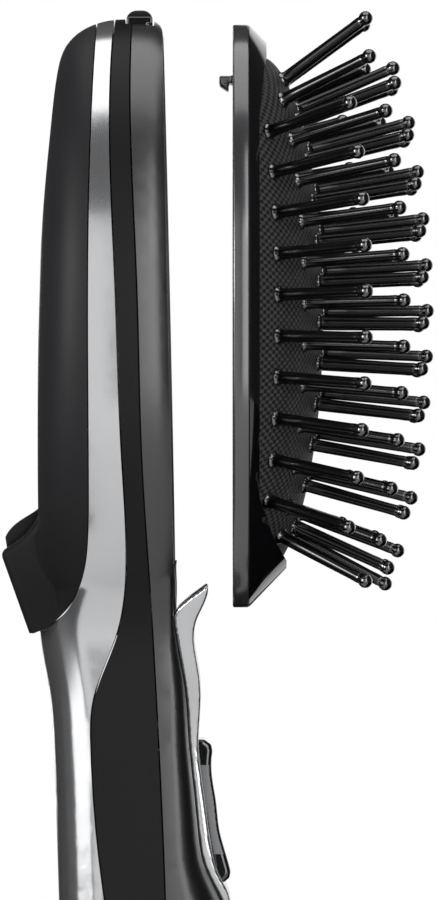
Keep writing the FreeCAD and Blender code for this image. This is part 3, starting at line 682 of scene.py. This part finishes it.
class BRUSH_OT_inside(bpy.types.Operator):
    """Finishes of the pieces inside the shells, and the spring"""
    bl_idname = "brush.inside"
    bl_label = "Inside"

    def execute(self, context):
        looks = {"satin_black_abs": ("pad_seat", "latch_bar", "battery_tray", "switch_block", "needle_holder",
                                     "ion_module", "lead_wires"),
                 "plated_steel": ("case_screws", "board_screws", "contact_left", "contact_right",
                                  "contact_bridge", "ion_needle"),
                 "cell_jacket": ("cell_left", "cell_right"),
                 "circuit_board": ("main_board",)}
        for look, nodes in looks.items():
            for node in nodes:
                mesh = frame["nodes"][node].data
                if not mesh.materials:
                    mesh.materials.append(None)
                for index in range(len(mesh.materials)):
                    mesh.materials[index] = finish(look)
        # The real spring shortens by the button's stroke, from its lower end; here the stroke is only read,
        # and the spring gets a mesh of its own
        press = next(joint for joint in frame["joints"] if joint["name"] == "release_press")
        stroke = max(abs(limit) for limit in press["range_m"])
        spring = piece(merged("release_spring"), "coiled_release_spring", ["plated_steel"], "handle",
                       "release_spring")
        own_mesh(spring)
        return {"FINISHED"}


# Stage

def around(azimuth, radius, height):
    """A place round the brush, at an azimuth in degrees left of the camera."""
    turn = math.radians(azimuth)
    return -radius * math.sin(turn), -radius * math.cos(turn), height


def stage_piece(scene, bm, name, look):
    """Makes an object of a bmesh that isn't part of the brush."""
    mesh = bpy.data.meshes.new(name)
    bm.to_mesh(mesh)
    bm.free()
    mesh.materials.append(finish(look))
    obj = bpy.data.objects.new(name, mesh)
    scene.collection.objects.link(obj)
    return obj


def stand_camera(scene, stage):
    """A level camera that looks along +Y at the picture's middle."""
    data = bpy.data.cameras.new("studio_camera")
    data.lens = data.sensor_width * stage.distance / stage.view_height
    data.clip_end = 20.0
    camera = bpy.data.objects.new("studio_camera", data)
    camera.location = (stage.aside, -stage.distance, stage.height)
    camera.rotation_euler = (math.radians(90), 0, 0)
    scene.collection.objects.link(camera)
    scene.camera = camera


def lay_floor(scene, stage):
    """A round floor under the brush."""
    bm = bmesh.new()
    bmesh.ops.create_circle(bm, cap_ends=True, segments=96, radius=stage.floor_radius)
    stage_piece(scene, bm, "studio_floor", "matt_paper")


def hang_lamp(scene, name, place, aim, size, glow):
    """A rectangular softbox whose face has the given glow, a quarter of its energy for each square metre."""
    lamp = bpy.data.lights.new(name, "AREA")
    lamp.shape = "RECTANGLE"
    lamp.size, lamp.size_y = size
    lamp.energy = 4 * size[0] * size[1] * glow
    obj = bpy.data.objects.new(name, lamp)
    obj.location = place
    obj.rotation_euler = (Vector(aim) - Vector(place)).to_track_quat("-Z", "Y").to_euler()
    scene.collection.objects.link(obj)


def hang_lamps(scene):
    """Upright softboxes round the brush, and one above it."""
    # Azimuth left of the camera, distance, width, lowest and highest edge in metres, and glow
    for name, azimuth, far, wide, low, high, glow in (
            ("left_softbox", 45, 1.15, 0.84, -0.14, 0.82, 1.55),
            ("front_fill", 12, 1.3, 0.43, -0.25, 0.8, 0.7),
            ("right_strip", -15, 1.25, 0.5, -0.25, 0.72, 2.4),
            ("right_strip_top", -19, 1.25, 0.36, 0.62, 1.3, 2.4),
            ("rim_strip", 160, 1.2, 0.3, 0.0, 0.6, 1.6),
            ("hard_spot", 50, 1.2, 0.3, 0.25, 0.55, 14.0)):
        middle = (low + high) / 2
        hang_lamp(scene, name, around(azimuth, far, middle), (0, 0, middle), (wide, high - low), glow)
    # It aims straight down; the slight slant only settles which way its sides run
    hang_lamp(scene, "top_softbox", place=(0, -0.14, 1.17), aim=(0, -0.1401, 0), size=(1.1, 0.97), glow=1.5)


def stand_cards(scene):
    """Black cards that only reflections see: three on the floor and one upright at the back on the left."""
    # Radius and height of both edges in metres, and the azimuths where a card starts and ends
    for name, near, far, start, end in (
            ("floor_flag", (0.13, 0.001), (0.6, 0.001), 18, 200),
            ("pad_flag", (0.05, 0.001), (0.22, 0.001), 150, 255),
            ("side_flag", (0.05, 0.002), (0.6, 0.002), 222, 310),
            ("back_flag", (0.4, 0.0), (0.4, 0.5), 96, 150)):
        bm = bmesh.new()
        ends = [bm.verts.new(around(start, radius, height)) for radius, height in (near, far)]
        edge = bm.edges.new(ends)
        bmesh.ops.spin(bm, geom=ends + [edge], cent=(0, 0, 0), axis=(0, 0, -1),
                       angle=math.radians(end - start), steps=24)
        card = stage_piece(scene, bm, name, "black_card")
        for ray in ("camera", "diffuse", "transmission", "shadow", "volume_scatter"):
            setattr(card, f"visible_{ray}", False)


def paint_surroundings(scene):
    """White for the camera, soft grey for light, and dark with a white backdrop for reflections."""
    world = bpy.data.worlds.new("white_studio")
    scene.world = world
    world.use_nodes = True
    world.cycles.sampling_method = "NONE"
    tree = world.node_tree
    tree.nodes.clear()
    path = add(tree, "ShaderNodeLightPath")
    glossy = path.outputs["Is Glossy Ray"]
    seen = add(tree, "ShaderNodeMath", {0: path.outputs["Is Camera Ray"],
                                        1: path.outputs["Is Transmission Ray"]}, operation="MAXIMUM")
    aim = add(tree, "ShaderNodeTexCoord")
    axis = add(tree, "ShaderNodeSeparateXYZ", {"Vector": aim.outputs["Generated"]})
    # The backdrop hangs behind the brush and a little to the right, with a soft edge
    swing = add(tree, "ShaderNodeMath", {0: axis.outputs["X"], 1: BACKDROP_TURN, 2: axis.outputs["Y"]},
                operation="MULTIPLY_ADD")
    behind = add(tree, "ShaderNodeMapRange", {"Value": swing.outputs[0], "From Min": BACKDROP_EDGE[0],
                                              "From Max": BACKDROP_EDGE[1]},
                 interpolation_type="SMOOTHSTEP")
    mirrored = add(tree, "ShaderNodeMath", {0: glossy, 1: behind.outputs["Result"]}, operation="MULTIPLY")
    room = add(tree, "ShaderNodeMix", {"Factor": glossy, "A": ROOM_LIGHT, "B": ROOM_REFLECTED},
               data_type="RGBA")
    hung = add(tree, "ShaderNodeMix", {"Factor": mirrored.outputs[0], "A": room.outputs["Result"],
                                       "B": WHITE}, data_type="RGBA")
    tone = add(tree, "ShaderNodeMix", {"Factor": seen.outputs[0], "A": hung.outputs["Result"], "B": WHITE},
               data_type="RGBA")
    back = add(tree, "ShaderNodeBackground", {"Color": tone.outputs["Result"], "Strength": 1.0})
    add(tree, "ShaderNodeOutputWorld", {"Surface": back.outputs["Background"]})


class BRUSH_OT_stage(bpy.types.Operator):
    """Camera, pale floor, soft lamps, black cards and white surroundings"""
    bl_idname = "brush.stage"
    bl_label = "Stage"

    def execute(self, context):
        scene = context.scene
        scene.view_settings.view_transform = "Standard"
        stand_camera(scene, scene.brush_stage)
        lay_floor(scene, scene.brush_stage)
        hang_lamps(scene)
        stand_cards(scene)
        paint_surroundings(scene)
        return {"FINISHED"}


# Add-on

class BRUSH_PT_panel(bpy.types.Panel):
    """Sizes and finishes of the brush, and its pieces in order"""
    bl_label = "Ionic Styling Brush"
    bl_idname = "BRUSH_PT_panel"
    bl_space_type = "VIEW_3D"
    bl_region_type = "UI"
    bl_category = "Brush"

    def draw(self, context):
        for name in GROUPS:
            group = getattr(context.scene, name)
            for key in group.__annotations__:
                self.layout.prop(group, key)
        for operator in OPERATORS:
            self.layout.operator(operator.bl_idname)


OPERATORS = (BRUSH_OT_stage, BRUSH_OT_shells, BRUSH_OT_controls, BRUSH_OT_pad_frame, BRUSH_OT_cushion,
             BRUSH_OT_pins, BRUSH_OT_inside)
GROUPS = {"brush_pad": BRUSH_PG_pad, "brush_pins": BRUSH_PG_pins, "brush_finishes": BRUSH_PG_finishes,
          "brush_stage": BRUSH_PG_stage}


def register():
    for group in GROUPS.values():
        bpy.utils.register_class(group)
    for operator in OPERATORS:
        bpy.utils.register_class(operator)
    bpy.utils.register_class(BRUSH_PT_panel)
    for name, group in GROUPS.items():
        setattr(bpy.types.Scene, name, PointerProperty(type=group))


def unregister():
    for name in GROUPS:
        delattr(bpy.types.Scene, name)
    bpy.utils.unregister_class(BRUSH_PT_panel)
    for operator in OPERATORS:
        bpy.utils.unregister_class(operator)
    for group in GROUPS.values():
        bpy.utils.unregister_class(group)


def main():
    register()
    bpy.ops.brush.stage()
    bpy.ops.brush.shells()
    bpy.ops.brush.controls()
    bpy.ops.brush.pad_frame()
    bpy.ops.brush.cushion()
    bpy.ops.brush.pins()
    bpy.ops.brush.inside()


if __name__ == "__main__":
    main()
